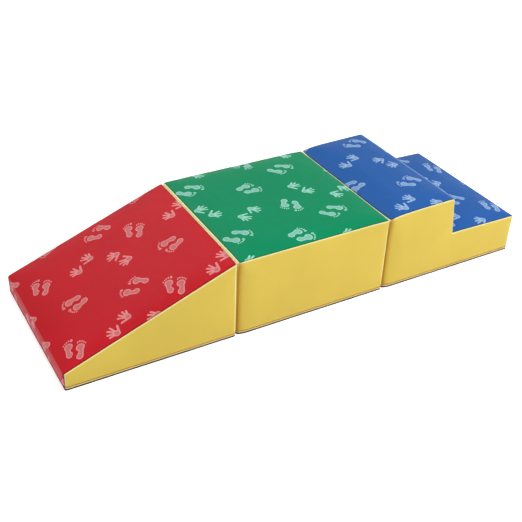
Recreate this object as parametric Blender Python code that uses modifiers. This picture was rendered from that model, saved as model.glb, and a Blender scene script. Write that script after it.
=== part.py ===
"""Soft play climber: a ramp, a platform and a pair of steps that stand in a row.

Each block is a foam core in a sewn vinyl cover. The cover has a coloured strip over the top, yellow
sides and a dark base sheet with a zipper. Hook and loop strips hold the blocks together. X runs along
the row from the low end of the ramp to the low end of the steps, Y across it, and Z is up from the
floor. All lengths are in metres.
"""

from dataclasses import dataclass

import bmesh
import bpy
from mathutils import Matrix, Vector

# Blocks
WIDTH = 0.610
TOP_HEIGHT = 0.303
RAMP_LENGTH = 0.614
LIP_HEIGHT = 0.070
PLATFORM_LENGTH = 0.614
STEPS_LENGTH = 0.622
UPPER_TREAD = 0.305
LOWER_HEIGHT = 0.1575
RISER_LEAN = 0.020
NOSE_LIFT = 0.013
EARLY_RISE_SHARE = 0.6
RISE_SHARPNESS = 6

# Rounding and stuffing of the covers
CORNER_RADIUS = 0.010
TOP_ROLL = 0.006
EDGE_BOW = 0.003
TOP_CROWN = 0.007
SIDE_CROWN = 0.006
END_CROWN = 0.003
CROWN_REACH = 0.120
BASE_TUCK = 0.0015
TUCK_HEIGHT = 0.040
EDGE_FLATNESS = 12

# Sheets and the clearances between pieces
VINYL = 0.0009
BASE_SHEET = 0.0010
FIT_GAP = 0.0003
SEAM_GAP = 0.0006

# Hook and loop strips on the ends that meet
STRIP_SIDE_MARGIN = 0.080
STRIP_WIDTH = 0.050
STRIP_THICKNESS = 0.0010
STRIP_MATING_GAP = 0.0004
UPPER_STRIP_DROP = 0.058
LOWER_STRIP_HEIGHT = 0.090

# Zipper in each base sheet, with its chain along Y
ZIP_SIDE_MARGIN = 0.055
ZIP_FROM_END = 0.090
CHAIN_WIDTH = 0.0070
CHAIN_THICKNESS = 0.0024
CHAIN_BEVEL = 0.0006
TAPE_WIDTH = 0.0150
TAPE_THICKNESS = 0.0006
SLIDER_WIDTH = 0.0110
SLIDER_LENGTH = 0.0140
SLIDER_PLATE = 0.00125
SLIDER_GRIP = 0.0080
SLIDER_FLOOR_GAP = 0.0006
SLIDER_SIDE_GAP = 0.0005
DIAMOND_RADIUS = 0.0022
HEM_WIDTH = 0.0065
TRENCH_SIDE_GAP = 0.0030
TRENCH_HEADROOM = 0.0020

# How finely each soft surface is divided
ROLL_CUTS = 3
MIDDLE_CUT_SHARES = (0.09, 0.27, 0.5, 0.73, 0.91)
TREAD_CUT_SHARES = (0.18, 0.5, 0.82)
HEIGHT_CUT_SHARES = (0.5,)

# Sizes that follow from those above
SKIN_DEPTH = VINYL + FIT_GAP
BLOCK_GAP = 2.0 * (STRIP_THICKNESS + FIT_GAP) + STRIP_MATING_GAP
STRIP_LENGTH = WIDTH - 2.0 * STRIP_SIDE_MARGIN
UPPER_STRIP_HEIGHT = TOP_HEIGHT - UPPER_STRIP_DROP
ZIP_LENGTH = WIDTH - 2.0 * ZIP_SIDE_MARGIN
SLIDER_LOW_TOP = SLIDER_FLOOR_GAP + SLIDER_PLATE
CHAIN_BOTTOM = SLIDER_LOW_TOP + FIT_GAP
CHAIN_MIDDLE = CHAIN_BOTTOM + CHAIN_THICKNESS / 2.0
SLIDER_HIGH_BOTTOM = CHAIN_BOTTOM + CHAIN_THICKNESS + FIT_GAP
SLIDER_TOP = SLIDER_HIGH_BOTTOM + SLIDER_PLATE
TAPE_BOTTOM = CHAIN_MIDDLE - TAPE_THICKNESS / 2.0
TAPE_INNER = CHAIN_WIDTH / 2.0 + FIT_GAP
TAPE_OUTER = TAPE_INNER + TAPE_WIDTH
SLOT_HALF = SLIDER_WIDTH / 2.0 + SLIDER_SIDE_GAP
HEM_TOP = TAPE_BOTTOM - FIT_GAP
TRENCH_HALF = TAPE_OUTER + TRENCH_SIDE_GAP
TRENCH_TOP = SLIDER_TOP + TRENCH_HEADROOM
SLOT_END = ZIP_LENGTH / 2.0 + SLIDER_LENGTH
TRENCH_END = SLOT_END + HEM_WIDTH + TRENCH_SIDE_GAP
CUT_OVERRUN = BASE_SHEET

# Colours as red, green and blue from 0 to 255, then roughness and metallic value
FINISHES = {
    "red": ((193, 63, 70), 0.48, 0.0),
    "green": ((31, 144, 101), 0.48, 0.0),
    "blue": ((61, 106, 175), 0.48, 0.0),
    "yellow": ((219, 192, 82), 0.48, 0.0),
    "charcoal": ((46, 46, 49), 0.75, 0.0),
    "foam": ((232, 224, 202), 0.95, 0.0),
    "tape": ((38, 38, 42), 0.9, 0.0),
    "chain": ((26, 26, 29), 0.45, 0.0),
    "nickel": ((176, 176, 178), 0.3, 1.0),
    "hook": ((24, 24, 26), 0.9, 0.0),
    "loop": ((34, 34, 37), 1.0, 0.0),
}


@dataclass
class Block:
    """One foam block. Its own x runs from 0 at its left end to its length."""

    name: str
    cover: str
    colour: str
    left: float
    length: float
    left_height: float
    right_height: float
    joined_left: bool
    joined_right: bool
    step_at: float = 0.0
    step_height: float = 0.0

    def datum(self, x):
        """Height of the straight top line over x, before the step is cut away."""
        return self.left_height + (self.right_height - self.left_height) * x / self.length

    def outline(self):
        """Corners of the side view, anticlockwise from the left end of the base."""
        points = [(0.0, 0.0), (self.length, 0.0)]
        if self.step_at:
            points += [(self.length, self.step_height), (self.step_at, self.step_height)]
            points += [(self.step_at, self.right_height)]
        else:
            points += [(self.length, self.right_height)]
        points += [(0.0, self.left_height)]
        return [Vector(point) for point in points]

    def columns(self):
        """Upright boxes that fill the side view: left, right and drop below the top line."""
        if not self.step_at:
            return [(0.0, self.length, 0.0)]
        return [
            (0.0, self.step_at, 0.0),
            (0.0, self.length, self.left_height - self.step_height),
        ]

    def zip_middle(self):
        """The zipper's x, near the end that stands against the next block."""
        return self.length - ZIP_FROM_END if self.joined_right else ZIP_FROM_END


def clamp(value, low, high):
    return max(low, min(high, value))


def swell(distance):
    """Share of the full crown at this distance from the nearest edge of a face."""
    return 1.0 - (1.0 - min(distance / CROWN_REACH, 1.0)) ** 2


def arch(share):
    """A flat-topped hump, 0 at both ends and close to 1 in between."""
    return 1.0 - (2.0 * clamp(share, 0.0, 1.0) - 1.0) ** EDGE_FLATNESS


def nearest_on_line(point, start, end):
    run = end - start
    share = clamp((point - start).dot(run) / run.length_squared, 0.0, 1.0)
    return start + run * share


def rounded(block, point):
    """Rolls the sharp block's edges: upright ones by the radius, top ones by an ellipse.

    Heights are stretched so that the ellipse becomes a circle. The roll is then the same distance
    all round a core that is smaller by the radius. Where a riser meets the tread below it, the two
    columns' rolls are blended. The base edge stays sharp.
    """
    stretch = CORNER_RADIUS / TOP_ROLL
    half = WIDTH / 2.0 - CORNER_RADIUS
    depth = (point.z - block.datum(point.x)) * stretch
    here = Vector((point.x, point.y, depth))
    rolls = []
    for left, right, drop in block.columns():
        x = clamp(point.x, left + CORNER_RADIUS, right - CORNER_RADIUS)
        z = min(depth, -drop * stretch - CORNER_RADIUS)
        seat = Vector((x, clamp(point.y, -half, half), z))
        away = here - seat
        reach = min(CORNER_RADIUS, max(abs(away.x), abs(away.y), abs(away.z)))
        outward = away.normalized() * (reach / CORNER_RADIUS)
        rolls.append((away.length, seat + outward * CORNER_RADIUS, outward))
    rolls.sort(key=lambda roll: roll[0])
    near, there, outward = rolls[0]
    for far, other, _ in rolls[1:]:
        there = there.lerp(other, max(0.0, 0.5 - (far - near) / CORNER_RADIUS))
    slope = (block.datum(there.x) - block.datum(point.x)) * point.z / block.datum(point.x)
    level = point.z + slope + (there.z - depth) / stretch
    return Vector((there.x, there.y, level)), outward


def crown_height(block, point, normal):
    """How far the stuffing pushes this point of a flat face out."""
    flat = Vector((point.x, point.z))
    corners = block.outline()
    sides = list(zip(corners, corners[1:] + corners[:1]))
    if abs(normal.y) > 0.5:
        return SIDE_CROWN * swell(min((flat - nearest_on_line(flat, *side)).length for side in sides))
    pressed = (normal.x < -0.5 and block.joined_left) or (normal.x > 0.5 and block.joined_right)
    if pressed or normal.z < -0.5:
        return 0.0
    facing = Vector((normal.x, normal.z))

    def mismatch(side):
        run = (side[1] - side[0]).normalized()
        off_normal = 1.0 - facing.dot(Vector((run.y, -run.x)))
        return (flat - nearest_on_line(flat, *side)).length + off_normal * block.length

    start, end = min(sides, key=mismatch)
    edge = min((flat - start).length, (flat - end).length, WIDTH / 2.0 - abs(point.y))
    return (TOP_CROWN if normal.z > 0.5 else END_CROWN) * swell(edge)


def near_riser(block, x):
    """Share that is 1 at the riser and fades to 0 at both ends of the steps."""
    if not block.step_at:
        return 0.0
    if x < block.step_at:
        return x / block.step_at
    return (block.length - x) / (block.length - block.step_at)


def nose_share(block, x):
    """Share of the nose's lift: the upper tread climbs early, and the lower one fades evenly."""
    near = near_riser(block, x)
    if not block.step_at or x > block.step_at:
        return near
    early = 1.0 - (1.0 - near) ** RISE_SHARPNESS
    return EARLY_RISE_SHARE * early + (1.0 - EARLY_RISE_SHARE) * near


def bow_height(block, point):
    """Lift of the top edges, which the cover's corners hold down, and of the nose of the riser."""
    if block.step_at and point.x > block.step_at:
        along = arch((point.x - block.step_at) / (block.length - block.step_at))
    else:
        along = arch(point.x / (block.step_at or block.length))
    across = arch(point.y / WIDTH + 0.5)
    lift = EDGE_BOW * (along + across - along * across)
    return (lift + NOSE_LIFT * nose_share(block, point.x)) * point.z / TOP_HEIGHT


def lean(block, point):
    """Shift along X that tilts the riser: its foot stands out and its nose is pulled back."""
    if not block.step_at:
        return 0.0
    tilt = RISER_LEAN * near_riser(block, point.x)
    if point.z > block.step_height:
        rise = (point.z - block.step_height) / (block.left_height - block.step_height)
        return tilt * (0.5 - rise)
    return tilt * 0.5 * point.z / block.step_height


def soften(block, work):
    """Moves the points of a sharp block, or of one piece of it, to the stuffed shape."""
    work.normal_update()
    moved = {}
    for vert in work.verts:
        normals = [face.normal for face in vert.link_faces]
        place, outward = rounded(block, vert.co)
        if all(normal.dot(normals[0]) > 0.99 for normal in normals):
            place += normals[0] * crown_height(block, vert.co, normals[0])
        tuck = BASE_TUCK * (1.0 - min(vert.co.z / TUCK_HEIGHT, 1.0)) ** 2
        place.x += lean(block, vert.co) - outward.x * tuck
        place.y -= outward.y * tuck
        place.z += bow_height(block, vert.co)
        moved[vert] = place
    for vert, place in moved.items():
        vert.co = place
    work.normal_update()


def cut_across(work, point, normal):
    geometry = work.verts[:] + work.edges[:] + work.faces[:]
    bmesh.ops.bisect_plane(work, geom=geometry, plane_co=point, plane_no=normal)


def sharp_block(block, bottom):
    """The block before it is stuffed, from a cube, with its faces divided where they will bend."""
    work = bmesh.new()
    tall = block.step_height or max(block.left_height, block.right_height)
    bmesh.ops.create_cube(work, size=1.0)
    bmesh.ops.scale(work, vec=(block.length, WIDTH, tall), verts=work.verts)
    bmesh.ops.translate(work, vec=(block.length / 2.0, 0.0, tall / 2.0), verts=work.verts)
    if block.step_at:
        cut_across(work, (block.step_at, 0.0, 0.0), (1.0, 0.0, 0.0))
        top = max(
            (face for face in work.faces if face.normal.z > 0.5 and
             face.calc_center_median().x < block.step_at),
            key=lambda face: face.calc_center_median().z,
        )
        raised = bmesh.ops.extrude_face_region(work, geom=[top])["geom"]
        corners = [item for item in raised if isinstance(item, bmesh.types.BMVert)]
        rise = block.left_height - block.step_height
        bmesh.ops.translate(work, vec=(0.0, 0.0, rise), verts=corners)
        bmesh.ops.delete(work, geom=[top], context="FACES_ONLY")
    for vert in work.verts:
        if not block.step_at and vert.co.z > tall / 2.0:
            vert.co.z = block.datum(vert.co.x)
        if vert.co.z < bottom:
            vert.co.z = bottom

    rolls = [CORNER_RADIUS * (cut + 1) / ROLL_CUTS for cut in range(ROLL_CUTS)]
    crossings = rolls + [block.length - roll for roll in rolls]
    if block.step_at:
        crossings += [block.step_at - roll for roll in rolls]
        crossings += [block.step_at * share for share in TREAD_CUT_SHARES]
        lower = block.length - block.step_at
        crossings += [block.step_at + lower * share for share in TREAD_CUT_SHARES]
    else:
        crossings += [block.length * share for share in MIDDLE_CUT_SHARES]
    for x in crossings:
        cut_across(work, (x, 0.0, 0.0), (1.0, 0.0, 0.0))

    half = WIDTH / 2.0
    for y in [half - roll for roll in rolls] + [WIDTH * share - half for share in MIDDLE_CUT_SHARES]:
        cut_across(work, (0.0, y, 0.0), (0.0, 1.0, 0.0))
        if y > CORNER_RADIUS:
            cut_across(work, (0.0, -y, 0.0), (0.0, 1.0, 0.0))

    slope = Vector((block.left_height - block.right_height, 0.0, block.length)).normalized()
    for cut in range(ROLL_CUTS):
        drop = TOP_ROLL * (cut + 1) / ROLL_CUTS
        cut_across(work, (0.0, 0.0, block.left_height - drop), slope)
        if block.step_at:
            cut_across(work, (0.0, 0.0, block.step_height - drop), slope)
    if not block.step_at:
        for share in HEIGHT_CUT_SHARES:
            tilt = Vector((slope.x * share, 0.0, slope.z)).normalized()
            cut_across(work, (0.0, 0.0, block.left_height * share), tilt)
    else:
        cut_across(work, (0.0, 0.0, block.step_height * HEIGHT_CUT_SHARES[0]), slope)
        cut_across(work, (0.0, 0.0, (block.step_height + block.left_height) / 2.0), slope)
    cut_across(work, (0.0, 0.0, min(TUCK_HEIGHT, block.left_height) / 2.0), (0.0, 0.0, 1.0))
    bmesh.ops.remove_doubles(work, verts=work.verts, dist=FIT_GAP / 10.0)
    work.normal_update()
    return work


def piece_of(block, normal):
    """Which cover piece a face of the sharp block belongs to."""
    if normal.y < -0.5:
        return "front_side_panel"
    if normal.y > 0.5:
        return "back_side_panel"
    if normal.z < -0.5:
        return "base_panel"
    if normal.x < -0.5 and block.joined_left:
        return "left_end_panel"
    if normal.x > 0.5 and block.joined_right:
        return "right_end_panel"
    return block.cover


def trim_border(work, distance):
    """Pulls the open border of a flat or folded piece in by this distance."""
    work.normal_update()
    shifts = {}
    for edge in work.edges:
        if len(edge.link_faces) != 1:
            continue
        face = edge.link_faces[0]
        middle = (edge.verts[0].co + edge.verts[1].co) / 2.0
        inward = face.normal.cross(edge.verts[1].co - edge.verts[0].co).normalized()
        if inward.dot(face.calc_center_median() - middle) < 0.0:
            inward = -inward
        for vert in edge.verts:
            known = shifts.setdefault(vert, [])
            if all(inward.dot(other) < 0.95 for other in known):
                known.append(inward)
    for vert, directions in shifts.items():
        vert.co += sum(directions, Vector()) * distance


def material(name):
    """A plain material of the named finish, made once."""
    found = bpy.data.materials.get(name)
    if found:
        return found
    colour, roughness, metallic = FINISHES[name]
    made = bpy.data.materials.new(name)
    made.use_nodes = True
    shader = made.node_tree.nodes["Principled BSDF"]
    linear = [((value / 255.0 + 0.055) / 1.055) ** 2.4 for value in colour]
    shader.inputs["Base Color"].default_value = (*linear, 1.0)
    shader.inputs["Roughness"].default_value = roughness
    shader.inputs["Metallic"].default_value = metallic
    return made


def new_object(name, work, finish, parent, collection):
    """An object from a bmesh, in its block's own coordinates."""
    mesh = bpy.data.meshes.new(name)
    work.to_mesh(mesh)
    work.free()
    mesh.materials.clear()
    mesh.materials.append(material(finish))
    obj = bpy.data.objects.new(name, mesh)
    obj.parent = parent
    collection.objects.link(obj)
    return obj


def add_box(work, low, high):
    """A box between two corners, added to the bmesh."""
    low, high = Vector(low), Vector(high)
    place = Matrix.Translation((low + high) / 2.0) @ Matrix.Diagonal((*(high - low), 1.0))
    bmesh.ops.create_cube(work, size=1.0, matrix=place)


def boolean(obj, operation, tool):
    cut = obj.modifiers.new(operation.lower(), "BOOLEAN")
    cut.operation = operation
    cut.solver = "EXACT"
    cut.object = tool


def box_tool(name, boxes, parent, cutters):
    """Boxes that cut or join a part and are no part themselves."""
    work = bmesh.new()
    for low, high in boxes:
        add_box(work, low, high)
    tool = new_object(name, work, "charcoal", parent, cutters)
    tool.display_type = "WIRE"
    tool.hide_render = True
    return tool


def make_cover(block, parent, parts):
    """The sewn panels above the base sheet, each an open surface with the vinyl's thickness."""
    sharp = sharp_block(block, BASE_SHEET)
    names = sorted({piece_of(block, face.normal) for face in sharp.faces} - {"base_panel"})
    for name in names:
        work = sharp.copy()
        others = [face for face in work.faces if piece_of(block, face.normal) != name]
        bmesh.ops.delete(work, geom=others, context="FACES")
        trim_border(work, SEAM_GAP / 2.0)
        soften(block, work)
        finish = block.colour if name == block.cover else "yellow"
        panel = new_object(f"{block.name}_{name}", work, finish, parent, parts)
        sheet = panel.modifiers.new("vinyl", "SOLIDIFY")
        sheet.thickness = VINYL
        sheet.offset = -1.0
        sheet.use_even_offset = True
        panel.data.shade_smooth()
    sharp.free()


def make_core(block, parent, parts, cutters):
    """The foam block inside the cover, with a trench over the zipper."""
    work = sharp_block(block, BASE_SHEET - VINYL)
    soften(block, work)
    inward = {vert: vert.normal * vert.calc_shell_factor() * SKIN_DEPTH for vert in work.verts}
    for vert, step in inward.items():
        vert.co -= step
    core = new_object(f"{block.name}_foam_core", work, "foam", parent, parts)
    middle = block.zip_middle()
    low = (middle - TRENCH_HALF, -TRENCH_END, -CUT_OVERRUN)
    high = (middle + TRENCH_HALF, TRENCH_END, TRENCH_TOP)
    boolean(core, "DIFFERENCE", box_tool(f"{block.name}_trench_cutter", [(low, high)], parent, cutters))


def make_base(block, parent, parts, cutters):
    """The dark base sheet, with a slot for the zipper between two folded hems."""
    work = sharp_block(block, 0.0)
    others = [face for face in work.faces if face.normal.z > -0.5]
    bmesh.ops.delete(work, geom=others, context="FACES")
    soften(block, work)
    base = new_object(f"{block.name}_base_panel", work, "charcoal", parent, parts)
    sheet = base.modifiers.new("vinyl", "SOLIDIFY")
    sheet.thickness = BASE_SHEET
    sheet.offset = -1.0
    middle = block.zip_middle()
    outer = SLOT_HALF + HEM_WIDTH
    low = (middle - outer, -SLOT_END - HEM_WIDTH, BASE_SHEET / 2.0)
    high = (middle + outer, SLOT_END + HEM_WIDTH, HEM_TOP)
    boolean(base, "UNION", box_tool(f"{block.name}_hem_joiner", [(low, high)], parent, cutters))
    low = (middle - SLOT_HALF, -SLOT_END, -CUT_OVERRUN)
    high = (middle + SLOT_HALF, SLOT_END, HEM_TOP + CUT_OVERRUN)
    boolean(base, "DIFFERENCE", box_tool(f"{block.name}_slot_cutter", [(low, high)], parent, cutters))


def make_zipper(block, parent, parts, cutters):
    """Two tapes, the closed chain of teeth, and a slider without a tab at the chain's back end."""
    middle = block.zip_middle()
    half = ZIP_LENGTH / 2.0
    top = TAPE_BOTTOM + TAPE_THICKNESS
    for side_name, inner, outer in (
        ("left", -TAPE_OUTER, -TAPE_INNER),
        ("right", TAPE_INNER, TAPE_OUTER),
    ):
        work = bmesh.new()
        add_box(work, (middle + inner, -half, TAPE_BOTTOM), (middle + outer, half, top))
        new_object(f"{block.name}_zipper_{side_name}_tape", work, "tape", parent, parts)

    work = bmesh.new()
    side = CHAIN_WIDTH / 2.0
    chain_top = CHAIN_BOTTOM + CHAIN_THICKNESS
    add_box(work, (middle - side, -half, CHAIN_BOTTOM), (middle + side, half, chain_top))
    long_edges = [edge for edge in work.edges if abs((edge.verts[0].co - edge.verts[1].co).y) > half]
    bmesh.ops.bevel(work, geom=long_edges, offset=CHAIN_BEVEL, segments=1, affect="EDGES")
    new_object(f"{block.name}_zipper_chain", work, "chain", parent, parts)

    # The slider's own origin lies on the chain's line, at the chain's end
    work = bmesh.new()
    wide = SLIDER_WIDTH / 2.0
    front, back = -SLIDER_GRIP, SLIDER_LENGTH - SLIDER_GRIP
    plate_low = SLIDER_FLOOR_GAP - CHAIN_MIDDLE
    add_box(work, (-wide, front, plate_low), (wide, back, plate_low + SLIDER_PLATE))
    slider = new_object(f"{block.name}_zipper_slider", work, "nickel", parent, parts)
    slider.location = (middle, half, CHAIN_MIDDLE)
    upper = box_tool(
        f"{block.name}_slider_upper_plate",
        [((-wide, front, SLIDER_HIGH_BOTTOM - CHAIN_MIDDLE), (wide, back, SLIDER_TOP - CHAIN_MIDDLE))],
        parent,
        cutters,
    )
    upper.location = slider.location
    boolean(slider, "UNION", upper)
    work = bmesh.new()
    reach = SLIDER_TOP - SLIDER_FLOOR_GAP - SLIDER_PLATE
    bmesh.ops.create_cone(
        work, cap_ends=True, segments=4, radius1=DIAMOND_RADIUS, radius2=DIAMOND_RADIUS, depth=reach
    )
    diamond = new_object(f"{block.name}_slider_diamond", work, "nickel", parent, cutters)
    diamond.location = (middle, half + DIAMOND_RADIUS + FIT_GAP, CHAIN_MIDDLE)
    diamond.display_type = "WIRE"
    diamond.hide_render = True
    boolean(slider, "UNION", diamond)


def make_strips(block, parent, parts, side, face_x, outward):
    """An upper and a lower strip sewn flat on an end that meets the next block."""
    kind = "loop" if block.joined_left and block.joined_right else "hook"
    near = face_x + outward * FIT_GAP
    far = near + outward * STRIP_THICKNESS
    for level, height in (("lower", LOWER_STRIP_HEIGHT), ("upper", UPPER_STRIP_HEIGHT)):
        work = bmesh.new()
        low = (min(near, far), -STRIP_LENGTH / 2.0, height - STRIP_WIDTH / 2.0)
        high = (max(near, far), STRIP_LENGTH / 2.0, height + STRIP_WIDTH / 2.0)
        add_box(work, low, high)
        new_object(f"{block.name}_{side}_{level}_{kind}_strip", work, kind, parent, parts)


def describe_blocks():
    """The three blocks in a row, centred on the origin."""
    ramp = Block(
        "ramp", "slope_panel", "red", 0.0, RAMP_LENGTH, LIP_HEIGHT, TOP_HEIGHT, False, True
    )
    platform = Block(
        "platform", "top_panel", "green", 0.0, PLATFORM_LENGTH, TOP_HEIGHT, TOP_HEIGHT, True, True
    )
    steps = Block(
        "steps", "tread_panel", "blue", 0.0, STEPS_LENGTH, TOP_HEIGHT, TOP_HEIGHT, True, False,
        UPPER_TREAD, LOWER_HEIGHT,
    )
    row = RAMP_LENGTH + BLOCK_GAP + PLATFORM_LENGTH + BLOCK_GAP + STEPS_LENGTH
    low_bulge = END_CROWN * swell(LIP_HEIGHT / 2.0)
    high_bulge = END_CROWN * swell(LOWER_HEIGHT / 2.0)
    ramp.left = (low_bulge - high_bulge - row) / 2.0
    platform.left = ramp.left + RAMP_LENGTH + BLOCK_GAP
    steps.left = platform.left + PLATFORM_LENGTH + BLOCK_GAP
    return ramp, platform, steps


def main():
    for obj in list(bpy.data.objects):
        bpy.data.objects.remove(obj, do_unlink=True)
    parts = bpy.data.collections.new("soft_play_climber")
    cutters = bpy.data.collections.new("cutters")
    bpy.context.scene.collection.children.link(parts)
    bpy.context.scene.collection.children.link(cutters)

    for block in describe_blocks():
        parent = bpy.data.objects.new(f"{block.name}_block", None)
        parent.location = (block.left, 0.0, 0.0)
        parts.objects.link(parent)
        make_core(block, parent, parts, cutters)
        make_cover(block, parent, parts)
        make_base(block, parent, parts, cutters)
        make_zipper(block, parent, parts, cutters)
        if block.joined_left:
            make_strips(block, parent, parts, "left", 0.0, -1.0)
        if block.joined_right:
            make_strips(block, parent, parts, "right", block.length, 1.0)


main()
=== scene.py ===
"""Looks of the soft play climber: three foam blocks in sewn vinyl covers, standing in a row."""

import math

import bmesh
import bpy
import numpy as np
from mathutils import Matrix, Vector, kdtree, noise


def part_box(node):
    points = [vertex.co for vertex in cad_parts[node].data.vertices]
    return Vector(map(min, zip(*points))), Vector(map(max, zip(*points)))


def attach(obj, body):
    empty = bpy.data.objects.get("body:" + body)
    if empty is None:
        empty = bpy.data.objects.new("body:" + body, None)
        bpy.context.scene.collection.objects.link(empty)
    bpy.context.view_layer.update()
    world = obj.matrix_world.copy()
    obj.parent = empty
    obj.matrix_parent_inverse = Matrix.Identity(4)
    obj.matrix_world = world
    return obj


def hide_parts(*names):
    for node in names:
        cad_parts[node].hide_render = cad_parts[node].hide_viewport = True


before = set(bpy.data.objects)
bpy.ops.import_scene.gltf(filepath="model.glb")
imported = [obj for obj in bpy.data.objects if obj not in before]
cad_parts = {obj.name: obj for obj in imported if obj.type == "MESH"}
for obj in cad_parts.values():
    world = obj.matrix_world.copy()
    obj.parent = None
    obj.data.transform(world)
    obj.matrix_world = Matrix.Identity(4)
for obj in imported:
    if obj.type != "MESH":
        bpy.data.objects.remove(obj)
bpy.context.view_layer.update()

# Block forms. Each block is firm foam, wrapped in vinyl that is sewn inside out and turned, so its
# edges roll over softly. A cube is shaped to the block's side view, its edges are bevelled, and it is
# cut into small cells that follow the seams. The foam and the cover are both made from this form.
WIDTH = 0.610
TOP = 0.303
RAMP_LIP = 0.070
LOWER_TREAD_TOP = 0.1575
UPPER_TREAD = 0.305
BASE_TUCK = 0.0015
TUCK_HEIGHT = 0.040
EDGE_ROLL = 0.010
ROLL_DROP = 0.006
ROLL_STEPS = 6
SEAM_INSET = EDGE_ROLL * (1.0 - math.cos(math.radians(45.0)))
WIDE_LAP = EDGE_ROLL * (1.0 - math.cos(math.radians(65.0)))
CELL = 0.012
TALL_CELL = 0.018
WELD = 0.00005
BASE_EDGE = 0.0080
HEM_GROOVE = 0.0146
HEM_LINES = (BASE_EDGE, 0.0100, 0.0124, HEM_GROOVE, 0.0168, 0.0210)
FLAT_FOLD = 0.01
# How much of its normal points one way where a face looks mostly, plainly or straight that way
MOSTLY, PLAINLY, STRAIGHT = 0.5, 0.7, 0.9


class Block:
    """Where a block stands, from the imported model, and the heights of its side view."""

    def __init__(self, name, left_top, tread, joined_left, joined_right, cover, colour):
        low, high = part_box(f"{name}_base_panel")
        self.name, self.left_top, self.cover, self.colour = name, left_top, cover, colour
        self.left, self.right = low.x - BASE_TUCK, high.x + BASE_TUCK
        self.joined_left, self.joined_right = joined_left, joined_right
        self.step = self.left + tread if tread else None
        self.lap = SEAM_INSET if tread else WIDE_LAP

    def panel(self, centre):
        """The cover piece that a face of the form belongs to."""
        if centre.z < BASE_EDGE:
            return "base_panel"
        if abs(centre.y) > WIDTH / 2.0 - SEAM_INSET:
            return "front_side_panel" if centre.y < 0.0 else "back_side_panel"
        if self.joined_left and centre.x < self.left + self.lap:
            return "left_end_panel"
        if self.joined_right and centre.x > self.right - SEAM_INSET:
            return "right_end_panel"
        return self.cover

    def panels(self):
        ends = ["left_end_panel"] * self.joined_left + ["right_end_panel"] * self.joined_right
        return [self.cover, "front_side_panel", "back_side_panel", *ends, "base_panel"]

    def along(self, place):
        """How far along the patterned strip a place lies, from the top of the left end."""
        run = place.x - self.left
        if self.step:
            past = place.x > self.step - EDGE_ROLL
            return run + (max(TOP - place.z, 0.0) if past else 0.0)
        slope = (TOP - self.left_top) / (self.right - self.left)
        drop = max(self.left_top + slope * run - place.z, 0.0)
        return run * math.hypot(1.0, slope) - drop


BLOCKS = (
    Block("ramp", RAMP_LIP, None, False, True, "slope_panel", "red"),
    Block("platform", TOP, None, True, True, "top_panel", "green"),
    Block("steps", TOP, UPPER_TREAD, True, False, "tread_panel", "blue"),
)


def take(obj):
    """Selects one object and nothing else."""
    bpy.ops.object.select_all(action="DESELECT")
    obj.select_set(True)
    bpy.context.view_layer.objects.active = obj


def open_to_edit(obj):
    take(obj)
    bpy.ops.object.mode_set(mode="EDIT")


def close_and_smooth(degrees):
    """Leaves edit mode, and smooths the surface over every fold that is under an angle."""
    bpy.ops.object.mode_set(mode="OBJECT")
    bpy.ops.object.shade_smooth_by_angle(angle=math.radians(degrees))


def pick(obj, kind, test):
    """Selects the vertices, edges or faces that pass a test, in edit mode."""
    bpy.ops.mesh.select_mode(type=kind)
    bpy.ops.mesh.select_all(action="DESELECT")
    work = bmesh.from_edit_mesh(obj.data)
    for item in {"VERT": work.verts, "EDGE": work.edges, "FACE": work.faces}[kind]:
        item.select_set(test(item))
    work.select_flush_mode()
    bmesh.update_edit_mesh(obj.data)


def cut(point, normal):
    bpy.ops.mesh.select_all(action="SELECT")
    bpy.ops.mesh.bisect(plane_co=point, plane_no=normal, threshold=WELD / 5.0)


def between(low, high, size):
    """Even places from low to high, about size apart."""
    count = max(1, round((high - low) / size))
    return [low + (high - low) * k / count for k in range(count + 1)]


def add_cube(name, middle, size):
    bpy.ops.object.select_all(action="DESELECT")
    bpy.ops.mesh.primitive_cube_add(size=1.0, location=middle, scale=size)
    obj = bpy.context.object
    obj.name = obj.data.name = name
    bpy.ops.object.transform_apply(location=True, rotation=True, scale=True)
    return obj


def rolls(block, edge, stretch):
    """True for each edge that the cover rolls round: all but the base's and the riser's foot."""
    ends = [vert.co for vert in edge.verts]
    if max(end.z for end in ends) < WELD:
        return False
    crease = Vector((block.step or 0.0, LOWER_TREAD_TOP * stretch))
    return not (block.step and all((end.xz - crease).length < WELD for end in ends))


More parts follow.
